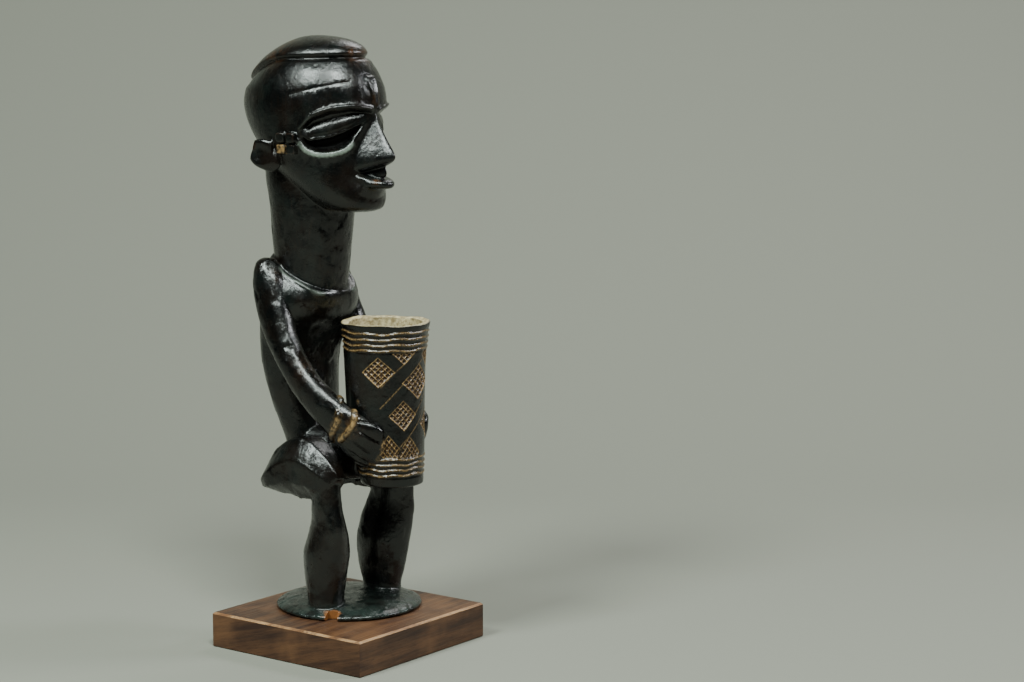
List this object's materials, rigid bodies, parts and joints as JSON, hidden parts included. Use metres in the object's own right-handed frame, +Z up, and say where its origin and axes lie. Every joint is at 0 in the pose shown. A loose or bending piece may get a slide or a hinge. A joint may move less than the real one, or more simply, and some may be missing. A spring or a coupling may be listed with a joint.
{
  "type": "cup bearer figure",
  "caption": "Standing carved wooden figure with bent knees that holds a tall open cup before its body, on a square wooden plinth.",
  "frame": {"origin": "centre of the plinth's underside", "axes": "+Z up, -Y is where the figure faces, +X is towards the figure's left hand"},
  "size_m": [0.12, 0.1381, 0.3767],
  "materials": {
    "blackened_wood": "glossy dark patina",
    "plinth_hardwood": "satin"
  },
  "bodies": {
    "root": {"figure": "blackened_wood", "plinth": "plinth_hardwood"}
  },
  "joints": []
}
